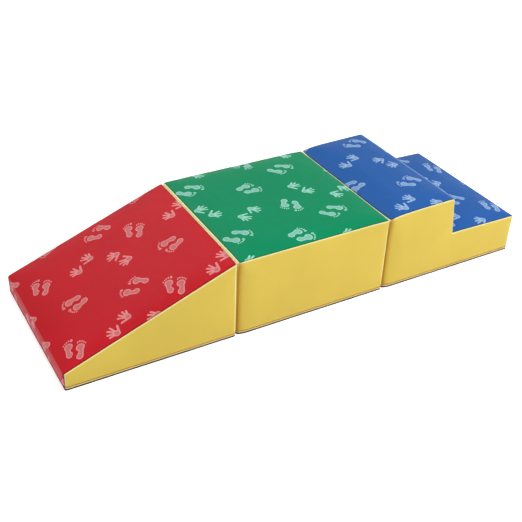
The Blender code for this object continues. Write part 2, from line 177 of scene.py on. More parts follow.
def shape_form(block):
    """The block as a closed form of small cells, before it is stuffed."""
    tall = LOWER_TREAD_TOP if block.step else TOP
    middle = Vector(((block.left + block.right) / 2.0, 0.0, tall / 2.0))
    form = add_cube(f"{block.name}_form", middle, (block.right - block.left, WIDTH, tall))
    open_to_edit(form)
    if block.step:
        cut((block.step, 0.0, 0.0), (1.0, 0.0, 0.0))
        pick(form, "FACE", lambda f: f.normal.z > MOSTLY and f.calc_center_median().x < block.step)
        rise = (0.0, 0.0, TOP - LOWER_TREAD_TOP)
        bpy.ops.mesh.extrude_region_move(TRANSFORM_OT_translate={"value": rise})
        pick(form, "FACE", lambda f: abs(f.normal.z) < MOSTLY)
        bpy.ops.mesh.dissolve_limited(angle_limit=FLAT_FOLD)
    else:
        pick(form, "VERT", lambda v: v.co.z > middle.z and v.co.x < middle.x)
        bpy.ops.transform.translate(value=(0.0, 0.0, block.left_top - TOP))

    # The roll is wider than it is tall, so it is bevelled on a stretched block
    stretch = EDGE_ROLL / ROLL_DROP
    bpy.ops.mesh.select_all(action="SELECT")
    bpy.ops.transform.resize(value=(1.0, 1.0, stretch), center_override=(0.0, 0.0, 0.0))
    pick(form, "EDGE", lambda edge: rolls(block, edge, stretch))
    bpy.ops.mesh.bevel(offset=EDGE_ROLL, segments=ROLL_STEPS, affect="EDGES", clamp_overlap=False)
    bpy.ops.mesh.select_all(action="SELECT")
    bpy.ops.transform.resize(value=(1.0, 1.0, 1.0 / stretch), center_override=(0.0, 0.0, 0.0))

    half = WIDTH / 2.0 - EDGE_ROLL
    for y in between(-half, half, CELL):
        cut((0.0, y, 0.0), (0.0, 1.0, 0.0))
    spans = [(block.left + EDGE_ROLL, (block.step or block.right) - EDGE_ROLL)]
    if block.step:
        spans.append((block.step, block.right - EDGE_ROLL))
    for x in [x for span in spans for x in between(*span, CELL)]:
        cut((x, 0.0, 0.0), (1.0, 0.0, 0.0))
    for z in HEM_LINES:
        cut((0.0, 0.0, z), (0.0, 0.0, 1.0))
    floor = HEM_LINES[-1]
    if block.step:
        levels = between(floor, LOWER_TREAD_TOP - ROLL_DROP, TALL_CELL)[1:]
        for z in levels + between(LOWER_TREAD_TOP, TOP - ROLL_DROP, TALL_CELL):
            cut((0.0, 0.0, z), (0.0, 0.0, 1.0))
    else:
        for share in between(0.0, 1.0, TALL_CELL / (TOP - floor))[1:-1]:
            left, right = (floor + (top - ROLL_DROP - floor) * share for top in (block.left_top, TOP))
            cut((block.left, 0.0, left), (left - right, 0.0, block.right - block.left))
    bpy.ops.mesh.select_all(action="SELECT")
    bpy.ops.mesh.remove_doubles(threshold=WELD)
    bpy.ops.object.mode_set(mode="OBJECT")
    return form


# Stuffing. The foam pushes each panel out between its seams, the corners hold the edges down, and the
# nose of the riser stands up and leans back. Cloth under pressure fills the form, held at its seams,
# and no point may pass the height that the crown has there.
TOP_CROWN = 0.007
SIDE_CROWN = 0.006
END_CROWN = 0.003
CROWN_REACH = 0.120
CROWN_SLACK = 0.0008
EDGE_BOW = 0.003
EDGE_FLATNESS = 12
NOSE_LIFT = 0.013
EARLY_RISE = 0.6
RISE_SHARPNESS = 6
JOINT_SAG = 0.009
SAG_REACH = 0.055
SAG_POWER = 2.5
CORNER_TURN = 0.009
TURN_REACH = 0.036
TURN_DROP = 0.070
TURN_SHARPNESS = 8
RISER_LEAN = 0.020
AIR_PRESSURE = 4.0
CLOTH_STIFFNESS = 15.0
CLOTH_FRAMES = 20


def coordinates(mesh):
    flat = np.empty(len(mesh.vertices) * 3, np.float32)
    mesh.vertices.foreach_get("co", flat)
    return flat.reshape(-1, 3).astype(float)


def put_coordinates(mesh, places):
    mesh.vertices.foreach_set("co", places.astype(np.float32).ravel())
    mesh.update()


def normals(mesh):
    flat = np.empty(len(mesh.vertices) * 3, np.float32)
    mesh.vertex_normals.foreach_get("vector", flat)
    return flat.reshape(-1, 3).astype(float)


def seam_distance(mesh, reach, folds=False):
    """Each vertex's distance to the nearest seam, or fold too if asked, up to reach."""
    work = bmesh.new()
    work.from_mesh(mesh)
    seams = [
        edge for edge in work.edges
        if len({(face.material_index, folds and face.normal.z > PLAINLY) for face in edge.link_faces}) > 1
    ]
    tree = kdtree.KDTree(len(seams) * 4)
    for number, edge in enumerate(seams):
        first, last = (vert.co for vert in edge.verts)
        for quarter in range(4):
            tree.insert(first.lerp(last, quarter / 4.0), number * 4 + quarter)
    tree.balance()
    found = np.array([min(tree.find(vert.co)[2], reach) for vert in work.verts])
    work.free()
    return found


def arch(share):
    return 1.0 - (2.0 * np.clip(share, 0.0, 1.0) - 1.0) ** EDGE_FLATNESS


def pull_edges(block, form):
    """Holds the corners and the joint down, lifts and leans the riser's nose, and tucks the base in."""
    places, out = coordinates(form.data), normals(form.data)
    x, y, z = places.T
    end = block.step or block.right
    along = arch((x - block.left) / (end - block.left))
    near = np.zeros_like(x)
    if block.step:
        beyond = x > block.step
        lower = (x - block.step) / (block.right - block.step)
        along = np.where(beyond, arch(lower), along)
        near = np.where(beyond, 1.0 - lower, (x - block.left) / (end - block.left))
    across = arch(y / WIDTH + 0.5)
    early = EARLY_RISE * (1.0 - (1.0 - near) ** RISE_SHARPNESS) + (1.0 - EARLY_RISE) * near
    climb = np.where(x > end, near, early)
    lift = EDGE_BOW * (along + across - along * across) + NOSE_LIFT * climb
    if block.step:
        lift -= JOINT_SAG * across * np.maximum(1.0 - (x - block.left) / SAG_REACH, 0.0) ** SAG_POWER
    rise = (z - LOWER_TREAD_TOP) / (TOP - LOWER_TREAD_TOP)
    lean = np.where(rise > 0.0, 0.5 - rise, 0.5 * z / LOWER_TREAD_TOP)
    tuck = BASE_TUCK * (1.0 - np.minimum(z / TUCK_HEIGHT, 1.0)) ** 2 * (z > WELD)
    turn = np.maximum(1.0 - (x - block.left) / TURN_REACH, 0.0) ** 2
    turn *= (2.0 * np.abs(y) / WIDTH) ** TURN_SHARPNESS
    turn *= block.joined_left * np.clip((TOP - z) / TURN_DROP, 0.0, 1.0)
    inward = out[:, 1] * tuck + np.sign(y) * CORNER_TURN * turn
    moved = np.stack([x + RISER_LEAN * near * lean - out[:, 0] * tuck, y - inward, z], 1)
    moved[:, 2] += lift * z / TOP
    put_coordinates(form.data, moved)


def crown(block, form):
    """How far the stuffing may push each vertex out."""
    out = normals(form.data)
    x = coordinates(form.data)[:, 0]
    height = np.where(out[:, 2] > MOSTLY, TOP_CROWN, END_CROWN)
    height = np.where(np.abs(out[:, 1]) > MOSTLY, SIDE_CROWN, height)
    pressed = block.joined_left & (x < block.left + WELD)
    pressed |= block.joined_right & (x > block.right - WELD)
    height = np.where(pressed | (out[:, 2] < -MOSTLY), 0.0, height)
    share = seam_distance(form.data, CROWN_REACH, folds=True) / CROWN_REACH
    return height * (1.0 - (1.0 - share) ** 2)


def stuff(block, form):
    """Fills the form by cloth simulation."""
    rest, out, height = coordinates(form.data), normals(form.data), crown(block, form)
    held = form.vertex_groups.new(name="held")
    held.add(np.flatnonzero(height < WELD).tolist(), 1.0, "REPLACE")
    cloth = form.modifiers.new("stuffing", "CLOTH")
    cloth.settings.use_pressure = True
    cloth.settings.uniform_pressure_force = AIR_PRESSURE
    cloth.settings.effector_weights.gravity = 0.0
    cloth.settings.vertex_group_mass = held.name
    cloth.settings.tension_stiffness = cloth.settings.compression_stiffness = CLOTH_STIFFNESS
    cloth.point_cache.frame_start = 1
    cloth.point_cache.frame_end = CLOTH_FRAMES
    scene = bpy.context.scene
    for number in range(1, CLOTH_FRAMES + 1):
        scene.frame_set(number)
    filled = form.evaluated_get(bpy.context.evaluated_depsgraph_get())
    move = coordinates(filled.data) - rest
    form.modifiers.remove(cloth)
    scene.frame_set(1)
    length = np.linalg.norm(move, axis=1)
    cap = height + CROWN_SLACK * (height > WELD)
    move *= np.minimum(1.0, cap / np.maximum(length, WELD))[:, None]
    put_coordinates(form.data, rest + move)
    form.vertex_groups.clear()


# Sewing. The panels meet in turned seams that pull a fine groove into the cover, with faint puckers
# beside it, and near the floor the cover is folded into a round hem over a dark base sheet. Highlights
# are painted pale along the edges, the hem roll and the riser's nose, shade is painted dark into the
# seams, the hem groove and the joints between blocks, and the cloth of the steps is sewn a little askew.
SEAM_DEPTH = 0.0014
SEAM_HALF = 0.0019
# Width of the painted shade, a dark line along each seam
SHADE_HALF = 0.0032
PUCKER_DEPTH = 0.0005
PUCKER_REACH = 0.014
PUCKERS_PER_METRE = 26.0
PUCKER_SEED = 3.7
HEM_BULGE = 0.0016
GROOVE_DEPTH = 0.0022
GROOVE_HALF = 0.0015
WAVE_DEPTH = 0.0006
WAVE_REACH = PUCKER_REACH * 3.0
WAVES_PER_METRE = 5.0
WAVE_SEED = 9.1
SHEET = 0.0009
# Painted highlights: a pale line beside each seam on the yellow, and a pale band on the hem roll
EDGE_LINE = 0.0022
EDGE_HALF = 0.0024
HEM_PALE = 0.0112
PAINTED_HEM_HIGHLIGHT = 1.4
# Painted shade: darker and more orange beside the joint to the next block and in the groove over the hem
JOINT_PAINTED_SHADE_REACH = 0.0125
HEM_PAINTED_SHADE = 1.08
HEM_PAINTED_SHADE_HALF = 0.0024
# Width of the painted highlight along the riser's nose
NOSE_HIGHLIGHT_HALF = 0.0045
# Painted highlight over the laps where blocks meet
PAINTED_LAP_HIGHLIGHT = 1.5
LAP_DEPTH = 0.014
CLOTH_SLIP = 0.020
SLIP_REACH = 0.060
TILE = Vector((0.3916, 0.3704))
# Where a corner of the printed tile lies on each strip, and how its two sides run, in metres
PRINT_FRAMES = {
    "ramp": ((0.0674, 0.4407), (0.3798, 0.0008), (0.0092, 0.3645)),
    "platform": ((0.3525, 0.2271), (-0.3860, 0.0018), (0.0092, -0.3581)),
    "steps": ((-0.0739, 0.4297), (0.3911, 0.0157), (-0.0031, 0.3596)),
}


def mark_panels(block, form, finishes):
    """Gives each face its panel's material, and each corner its place on the printed cloth."""
    names = block.panels()
    for name in names:
        form.data.materials.append(finishes[name])
    origin, across, up = (Vector(part) for part in PRINT_FRAMES[block.name])
    to_tile = Matrix(((across.x, up.x), (across.y, up.y))).inverted()
    cloth = form.data.uv_layers.new(name="cloth")
    piece = form.data.attributes.new("panel", "INT", "FACE")
    for face in form.data.polygons:
        name = block.panel(face.center)
        face.material_index = piece.data[face.index].value = names.index(name)
        for loop in face.loop_indices:
            place = form.data.vertices[form.data.loops[loop].vertex_index].co
            along, back = block.along(place), place.y + WIDTH / 2.0
            if block.step:
                back -= CLOTH_SLIP * math.exp(-((along / SLIP_REACH) ** 2))
            spot = to_tile @ (Vector((along, back)) - origin)
            cloth.data[loop].uv = (spot.x * TILE.x, spot.y * TILE.y)


def apply_modifier(obj, name, kind, **settings):
    take(obj)
    modifier = obj.modifiers.new(name, kind)
    for key, value in settings.items():
        setattr(modifier, key, value)
    bpy.ops.object.modifier_apply(modifier=name)


def ripple(places, per_metre, seed):
    """Smooth noise from -1 to 1 at each place."""
    shift = Vector((seed, seed, seed))
    return np.array([noise.noise(Vector(place) * per_metre + shift) for place in places])


def fade(distance, half):
    """How near places are to a line: 1 on it, and less the farther they are from it."""
    return np.exp(-((distance / half) ** 2))


def sew(block, form):
    """Smooths the stuffed form once, then presses in its seams and shapes its hem."""
    apply_modifier(form, "smooth", "SUBSURF", levels=1, render_levels=1)
    places, out = coordinates(form.data), normals(form.data)
    gap, height = seam_distance(form.data, WAVE_REACH), places[:, 2]
    push = -SEAM_DEPTH * fade(gap, SEAM_HALF)
    wrinkle = ripple(places, PUCKERS_PER_METRE, PUCKER_SEED) * fade(gap, PUCKER_REACH)
    push += PUCKER_DEPTH * wrinkle * np.minimum(gap / SEAM_HALF, 1.0)
    push += WAVE_DEPTH * ripple(places, WAVES_PER_METRE, WAVE_SEED) * np.minimum(gap / WAVE_REACH, 1.0)
    upright = np.abs(out[:, 2]) < PLAINLY
    share = np.clip((height - BASE_EDGE) / (HEM_GROOVE - BASE_EDGE), 0.0, 1.0)
    groove = fade(height - HEM_GROOVE, GROOVE_HALF) * upright
    push += HEM_BULGE * np.sin(share * math.pi) * upright - GROOVE_DEPTH * groove
    push[height < WELD] = 0.0
    put_coordinates(form.data, places + out * push[:, None])
    # Stores where painted shade and painted highlights go, as attributes of the mesh
    for name, values in painted_light_masks(block, places, out, gap).items():
        form.data.attributes.new(name, "FLOAT", "POINT").data.foreach_set("value", values)


def painted_light_masks(block, places, out, gap):
    """How much painted shade and painted highlight the cover gets at each place, by the name of the
    attribute.
    """
    x, height, side = places[:, 0], places[:, 2], np.abs(out[:, 1])
    upright = np.abs(out[:, 2]) < PLAINLY
    at_left = block.joined_left & (x < block.left + EDGE_ROLL)
    at_right = block.joined_right & (x > block.right - EDGE_ROLL)
    pressed = at_left & (height < TOP - np.where(side > MOSTLY, EDGE_ROLL, TURN_REACH))
    # Painted highlight: a pale line beside each seam, a pale band on the hem roll and pale laps where blocks
    # meet
    edge = fade(gap - EDGE_LINE, EDGE_HALF) * (height > HEM_LINES[-1]) * ~pressed
    hem = PAINTED_HEM_HIGHLIGHT * fade(height - HEM_PALE, EDGE_HALF) * upright
    lap = PAINTED_LAP_HIGHLIGHT * fade(np.maximum(TOP - height, 0.0), LAP_DEPTH) * (at_left | at_right) * (side < MOSTLY)
    # Painted shade beside the joint to the next block and in the hem groove
    joint_painted_shade = fade(x - block.left, JOINT_PAINTED_SHADE_REACH) * side * block.joined_left
    hem_painted_shade = HEM_PAINTED_SHADE * fade(height - HEM_GROOVE, HEM_PAINTED_SHADE_HALF) * upright
    # Painted highlight along the riser's nose
    nose = (block.step or 0.0) - RISER_LEAN / 2.0 - NOSE_HIGHLIGHT_HALF
    return {
        # Painted shade: a dark line along every seam
        "crease": fade(gap, SHADE_HALF),
        # Painted shade in the hem groove and at the joint
        "deep": np.maximum(hem_painted_shade, joint_painted_shade),
        # Painted highlights beside the seams, on the hem roll and on the laps
        "edge": np.maximum(np.maximum(edge, hem), lap),
        # Painted highlight on the riser's nose
        "worn": fade(x - nose, NOSE_HIGHLIGHT_HALF) * (height > TOP) * bool(block.step),
    }


def hem_path(form):
    """The places round the block in the groove above its hem, in order."""
    nearby = GROOVE_HALF / 3.0
    places = [vert.co.copy() for vert in form.data.vertices if abs(vert.co.z - HEM_GROOVE) < nearby]
    middle = sum(places, Vector()) / len(places)
    return sorted(places, key=lambda place: math.atan2(place.y - middle.y, place.x - middle.x))


def cut_panels(block, form, finishes):
    """Separates the cover into its panels, one object each, by material."""
    names = block.panels()
    open_to_edit(form)
    bpy.ops.mesh.select_all(action="SELECT")
    bpy.ops.mesh.separate(type="MATERIAL")
    bpy.ops.object.mode_set(mode="OBJECT")
    panels = {}
    for obj in list(bpy.context.selected_objects):
        piece = obj.data.attributes["panel"]
        name = names[piece.data[0].value]
        obj.data.attributes.remove(piece)
        obj.data.materials.clear()
        obj.data.materials.append(finishes[name])
        obj.name = obj.data.name = f"{block.name}_{name.replace('panel', 'vinyl')}"
        panels[name] = obj

    # They come apart in no fixed order, so they are linked again in the order of the names
    for name in names:
        for holder in panels[name].users_collection:
            holder.objects.unlink(panels[name])
        bpy.context.scene.collection.objects.link(panels[name])
    return {name: panels[name] for name in names}


# Vinyl. The cloth is coated with soft vinyl that has a fine leather grain and a low sheen. The strips
# over the tops are printed in pale ink with pairs of hands and feet, and the sides are plain yellow.
CLOUDS_PER_METRE = 5.0
CLOUD_TINT = (0.965, 1.035)
SCUFFS_PER_METRE = 45.0
ROUGHNESS = (0.40, 0.50)
GRAINS_PER_METRE = 780.0
GRAIN_WARP_PER_METRE = 420.0
CREASES_PER_METRE = 160.0
CREASE_SHARE = 0.5
GRAIN_STRENGTH = 0.35
GRAIN_DEPTH = 0.00025
SHINE = 0.12
# How dark the painted shade is along seams, in the hem groove and at joints, and how strong the painted
# highlights are
SEAM_SHADE = 0.28
PAINTED_SHADE = 0.92
PAINTED_EDGE_HIGHLIGHT = 0.75
PAINTED_NOSE_HIGHLIGHT = 0.40
BLOTCHES_PER_METRE = 260.0
BLOTCH_SPREAD = (0.35, 0.65)
THIN_INK = 0.70


def node(tree, kind, *sources, **settings):
    """Adds a node, sets its options, and joins or sets its inputs in order."""
    made = tree.nodes.new(kind)
    for key, value in settings.items():
        setattr(made, key, value)
    for socket, source in zip([socket for socket in made.inputs if socket.enabled], sources):
        if isinstance(source, bpy.types.NodeSocket):
            tree.links.new(source, socket)
        elif source is not None:
            socket.default_value = source
    return [socket for socket in made.outputs if socket.enabled][0]


def math_node(tree, operation, *sources, **settings):
    return node(tree, "ShaderNodeMath", *sources, operation=operation, **settings)


def vector_node(tree, operation, *sources):
    return node(tree, "ShaderNodeVectorMath", *sources, operation=operation)


def scaled(tree, vector, by):
    return node(tree, "ShaderNodeVectorMath", vector, by, operation="SCALE")


def ramp_node(tree, value, from_low, from_high, to_low, to_high):
    return node(tree, "ShaderNodeMapRange", value, from_low, from_high, to_low, to_high)


def uneven(tree, noise_value, low, high):
    """Noise, which lies between about 0.3 and 0.7, spread from low to high."""
    return ramp_node(tree, noise_value, 0.3, 0.7, low, high)


def new_group(name, inputs, outputs):
    """An empty node group, its input sockets by name, and its output node."""
    tree = bpy.data.node_groups.new(name, "ShaderNodeTree")
    for label, kind in inputs:
        tree.interface.new_socket(label, in_out="INPUT", socket_type=f"NodeSocket{kind}")
    for label, kind in outputs:
        tree.interface.new_socket(label, in_out="OUTPUT", socket_type=f"NodeSocket{kind}")
    return tree, tree.nodes.new("NodeGroupInput").outputs, tree.nodes.new("NodeGroupOutput").inputs


def use_group(tree, group, **sources):
    """Places a group in a tree with these inputs, and returns its outputs."""
    made = tree.nodes.new("ShaderNodeGroup")
    made.node_tree = group
    for label, source in sources.items():
        socket = made.inputs[label.replace("_", " ")]
        if isinstance(source, bpy.types.NodeSocket):
            tree.links.new(source, socket)
        else:
            socket.default_value = source
    return made.outputs


def object_place(tree):
    return tree.nodes.new("ShaderNodeTexCoord").outputs["Object"]


def noise_node(tree, place, scale, detail=2.0, rough=0.5):
    made = tree.nodes.new("ShaderNodeTexNoise")
    tree.links.new(place, made.inputs["Vector"])
    made.inputs["Scale"].default_value = scale
    made.inputs["Detail"].default_value = detail
    made.inputs["Roughness"].default_value = rough
    return made.outputs["Fac"]


def cell_node(tree, place, scale, feature="F1"):
    made = tree.nodes.new("ShaderNodeTexVoronoi")
    made.feature = feature
    tree.links.new(place, made.inputs["Vector"])
    made.inputs["Scale"].default_value = scale
    return made.outputs["Distance"]


def make_vinyl_skin():
    """Group: uneven colour, roughness and the height of the embossed grain."""
    tree, given, made = new_group(
        "vinyl_skin",
        [("Colour", "Color"), ("Grain", "Float")],
        [("Colour", "Color"), ("Roughness", "Float"), ("Height", "Float")],
    )
    place = object_place(tree)
    tint = uneven(tree, noise_node(tree, place, CLOUDS_PER_METRE, 3.0), *CLOUD_TINT)
    tree.links.new(scaled(tree, given["Colour"], tint), made["Colour"])
    scuff = noise_node(tree, place, SCUFFS_PER_METRE, 4.0, 0.6)
    tree.links.new(uneven(tree, scuff, *ROUGHNESS), made["Roughness"])
    warp = noise_node(tree, place, GRAIN_WARP_PER_METRE)
    spread = scaled(tree, place, given["Grain"])
    bent = vector_node(tree, "ADD", spread, node(tree, "ShaderNodeCombineXYZ", warp, warp, warp))
    pebble = cell_node(tree, bent, 1.0, "SMOOTH_F1")
    crease = noise_node(tree, place, CREASES_PER_METRE, 3.0)
    high = math_node(tree, "MULTIPLY_ADD", crease, CREASE_SHARE, pebble)
    tree.links.new(high, made["Height"])
    return tree


def make_line_distance():
    """Group: the distance from a place to a straight stroke."""
    tree, given, made = new_group(
        "distance_to_stroke",
        [("Place", "Vector"), ("Start", "Vector"), ("Run", "Vector")],
        [("Distance", "Float")],
    )
    away = vector_node(tree, "SUBTRACT", given["Place"], given["Start"])
    part = vector_node(tree, "DOT_PRODUCT", away, given["Run"])
    whole = vector_node(tree, "DOT_PRODUCT", given["Run"], given["Run"])
    share = math_node(tree, "DIVIDE", part, whole, use_clamp=True)
    seat = scaled(tree, given["Run"], share)
    rest = vector_node(tree, "SUBTRACT", away, seat)
    tree.links.new(vector_node(tree, "LENGTH", rest), made["Distance"])
    return tree


def oval(tree, place, centre, radii):
    """Signed distance to an oval, in millimetres."""
    away = vector_node(tree, "SUBTRACT", place, (*centre, 0.0))
    unit = vector_node(tree, "LENGTH", vector_node(tree, "DIVIDE", away, (*radii, 1.0)))
    return math_node(tree, "MULTIPLY_ADD", unit, min(radii), -min(radii))


def stroke(tree, place, start, end, radius):
    run = (end[0] - start[0], end[1] - start[1], 0.0)
    reach = use_group(tree, LINE_DISTANCE, Place=place, Start=(*start, 0.0), Run=run)[0]
    return math_node(tree, "SUBTRACT", reach, radius)


def melt(tree, parts, softness):
    """One outline round several shapes, their joins rounded by softness."""
    joined = parts[0]
    for part in parts[1:]:
        joined = math_node(tree, "SMOOTH_MIN", joined, part, softness)
    return joined


# Prints in millimetres: x runs from the heel or wrist to the toes or fingers, y to the big toe or thumb
SOLE_OVALS = (((-24.0, 0.0), (12.6, 12.2)), ((10.5, 0.0), (14.4, 15.6)))
SOLE_STROKE = ((-22.0, -3.0), (8.0, -3.0), 9.0)
TOES = (((33.8, 13.2), (6.0, 4.4)), ((35.6, 3.6), (4.2, 2.6)), ((33.8, -4.2), (3.9, 2.5)),
        ((30.0, -10.9), (3.6, 2.4)), ((24.0, -17.2), (3.4, 2.7)))
PALM = ((-7.0, -2.5), (13.2, 11.6))
FINGERS = (((-13.0, 6.0), (-4.5, 26.8), 3.9), ((0.0, 5.0), (20.5, 20.2), 3.2), ((4.0, 2.0), (27.3, 7.2), 3.5),
           ((4.0, -4.0), (25.4, -8.6), 3.5), ((-2.0, -8.0), (15.4, -18.0), 3.5))
INK_EDGE = 0.35
RIM_DEPTHS = (2.0, 5.0)
SOLE_SOFTNESS = 3.0
PALM_SOFTNESS = 1.6


def make_print(name, build):
    """Group: the ink mask of one print and of its paler rim."""
    tree, given, made = new_group(name, [("Place", "Vector")], [("Ink", "Float"), ("Rim", "Float")])
    place = scaled(tree, given["Place"], 1000.0)
    outline = build(tree, place)
    tree.links.new(ramp_node(tree, outline, -INK_EDGE, INK_EDGE, 1.0, 0.0), made["Ink"])
    tree.links.new(ramp_node(tree, outline, -RIM_DEPTHS[1], -RIM_DEPTHS[0], 0.0, 1.0), made["Rim"])
    return tree


def foot_outline(tree, place):
    sole = [oval(tree, place, *part) for part in SOLE_OVALS] + [stroke(tree, place, *SOLE_STROKE)]
    toes = [oval(tree, place, *toe) for toe in TOES]
    return melt(tree, [melt(tree, sole, SOLE_SOFTNESS), *toes], 0.0)


def hand_outline(tree, place):
    fingers = [stroke(tree, place, *finger) for finger in FINGERS]
    return melt(tree, [oval(tree, place, *PALM), *fingers], PALM_SOFTNESS)


def make_nearest():
    """Group: a place as seen from one print of the tile, if that print is nearer than the best yet."""
    tree, given, made = new_group(
        "nearest_print",
        [("Cloth", "Vector"), ("Centre", "Vector"), ("Turn", "Float"),
         ("Inner Side", "Vector"), ("Best", "Vector")],
        [("Best", "Vector")],
    )
    away = vector_node(tree, "SUBTRACT", given["Cloth"], given["Centre"])
    half = (TILE.x / 2.0, TILE.y / 2.0, 1.0)
    wrapped = vector_node(tree, "WRAP", away, half, tuple(-size for size in half))
    turned = tree.nodes.new("ShaderNodeVectorRotate")
    turned.rotation_type = "Z_AXIS"
    tree.links.new(wrapped, turned.inputs["Vector"])
    tree.links.new(math_node(tree, "MULTIPLY", given["Turn"], -1.0), turned.inputs["Angle"])
    seen = vector_node(tree, "MULTIPLY", turned.outputs[0], given["Inner Side"])
    reaches = [vector_node(tree, "LENGTH", place) for place in (seen, given["Best"])]
    nearer = math_node(tree, "LESS_THAN", *reaches)
    best = node(tree, "ShaderNodeMix", nearer, given["Best"], seen, data_type="VECTOR")
    tree.links.new(best, made["Best"])
    return tree


# Each print's place on the tile in metres, its heading in degrees, and which side is its inner one
FEET = (((-0.0037, 0.0041), 75.5, -1), ((0.0284, -0.0254), 63.7, 1), ((0.0815, -0.1666), 178.0, 1),
        ((0.0983, -0.2045), 196.0, -1), ((0.2661, -0.2883), 147.0, -1), ((0.3143, -0.2643), 135.0, 1))
HANDS = (((0.1521, -0.0446), 149.0, -1), ((0.2103, -0.0090), 115.0, 1), ((0.2937, -0.0748), 157.0, 1),
         ((0.3216, -0.1327), 196.0, -1))


def make_ink():
    """Group: the ink of the whole repeating print, from the place on the cloth."""
    outputs = [("Ink", "Float"), ("Rim", "Float")]
    tree, given, made = new_group("hands_and_feet", [("Cloth", "Vector")], outputs)
    prints = (make_print("foot_print", foot_outline), FEET), (make_print("hand_print", hand_outline), HANDS)
    masks = []
    for group, spots in prints:
        best = (1.0, 1.0, 0.0)
        for (x, y), heading, side in spots:
            best = use_group(
                tree, NEAREST, Cloth=given["Cloth"], Centre=(x, y, 0.0), Turn=math.radians(heading),
                Inner_Side=(1.0, side, 1.0), Best=best,
            )[0]
        masks.append(use_group(tree, group, Place=best))
    tree.links.new(math_node(tree, "MAXIMUM", masks[0]["Ink"], masks[1]["Ink"]), made["Ink"])
    tree.links.new(math_node(tree, "MINIMUM", masks[0]["Rim"], masks[1]["Rim"]), made["Rim"])
    return tree


def linear(*colour):
    """Red, green and blue from 0 to 255, as the eye reads them, to a linear colour."""
    return (*[((value / 255.0 + 0.055) / 1.055) ** 2.4 for value in colour], 1.0)


def tinted(tree, colour, tint):
    """A plain colour, made lighter and darker by a tint."""
    return scaled(tree, linear(*colour)[:3], tint)


def new_material(name):
    made = bpy.data.materials.new(name)
    made.use_nodes = True
    return made, made.node_tree, made.node_tree.nodes["Principled BSDF"].inputs


def add_bump(tree, height, strength, distance, shader):
    bump = tree.nodes.new("ShaderNodeBump")
    bump.inputs["Strength"].default_value = strength
    bump.inputs["Distance"].default_value = distance
    tree.links.new(height, bump.inputs["Height"])
    tree.links.new(bump.outputs[0], shader["Normal"])


LINE_DISTANCE = make_line_distance()
NEAREST = make_nearest()
VINYL_SKIN = make_vinyl_skin()
INK = make_ink()


def line_mask(tree, name):
    """How much painted shade or painted highlight a place gets, from the mesh's own attribute."""
    made = tree.nodes.new("ShaderNodeAttribute")
    made.attribute_name = name
    return made.outputs["Fac"]


def make_painted_light_group():
    """Group: paints highlights pale along a colour's edges, and paints shade dark into its seams, folds and
    joints.
    """
    tree, given, made = new_group(
        "sewn_wear",
        [("Colour", "Color"), ("Pale", "Color"), ("Deep", "Color"),
         ("Edge Wear", "Float"), ("Nose Wear", "Float"), ("Seam Shade", "Float")],
        [("Colour", "Color")],
    )
    # Painted highlights along the edges and the riser's nose
    edges = math_node(tree, "MULTIPLY", line_mask(tree, "edge"), given["Edge Wear"])
    nose = math_node(tree, "MULTIPLY", line_mask(tree, "worn"), given["Nose Wear"])
    painted_highlight = math_node(tree, "MAXIMUM", edges, nose)
    paler = node(tree, "ShaderNodeMix", painted_highlight, given["Colour"], given["Pale"], data_type="RGBA")
    # Painted shade darkens the colour along the seams
    shade = ramp_node(tree, line_mask(tree, "crease"), 0.0, 1.0, 1.0, given["Seam Shade"])
    # Painted shade in the hem groove and at the joints, towards the deep colour
    painted_shade_amount = math_node(tree, "MULTIPLY", line_mask(tree, "deep"), PAINTED_SHADE)
    sewn = node(tree, "ShaderNodeMix", painted_shade_amount, scaled(tree, paler, shade), given["Deep"], data_type="RGBA")
    tree.links.new(sewn, made["Colour"])
    return tree


PAINTED_LIGHT_GROUP = make_painted_light_group()


def make_vinyl(name, colour, deep, pale, ink=None):
    """Grained vinyl of one colour, printed where an ink colour is given."""
    made, tree, shader = new_material(name)
    base = linear(*colour)
    if ink:
        cloth = tree.nodes.new("ShaderNodeUVMap")
        cloth.uv_map = "cloth"
        inked = use_group(tree, INK, Cloth=cloth.outputs[0])
        blotch = noise_node(tree, object_place(tree), BLOTCHES_PER_METRE, 3.0)
        cover = ramp_node(tree, blotch, *BLOTCH_SPREAD, THIN_INK, 1.0)
        colours = (linear(*ink), linear(*pale))
        print_colour = node(tree, "ShaderNodeMix", inked["Rim"], *colours, data_type="RGBA")
        amount = math_node(tree, "MULTIPLY", inked["Ink"], cover)
        base = node(tree, "ShaderNodeMix", amount, base, print_colour, data_type="RGBA")
    # Printed vinyl gets the painted nose highlight and painted seam shade, plain vinyl the painted edge
    # highlights
    edge, nose, shade = (0.0, PAINTED_NOSE_HIGHLIGHT, SEAM_SHADE) if ink else (PAINTED_EDGE_HIGHLIGHT, 0.0, 1.0)
    base = use_group(
        tree, PAINTED_LIGHT_GROUP, Colour=base, Pale=linear(*pale), Deep=linear(*deep),
        Edge_Wear=edge, Nose_Wear=nose, Seam_Shade=shade,
    )["Colour"]
    skin = use_group(tree, VINYL_SKIN, Colour=base, Grain=GRAINS_PER_METRE)
    tree.links.new(skin["Colour"], shader["Base Color"])
    tree.links.new(skin["Roughness"], shader["Roughness"])
    shader["Specular IOR Level"].default_value = SHINE
    add_bump(tree, skin["Height"], GRAIN_STRENGTH, GRAIN_DEPTH, shader)
    return made


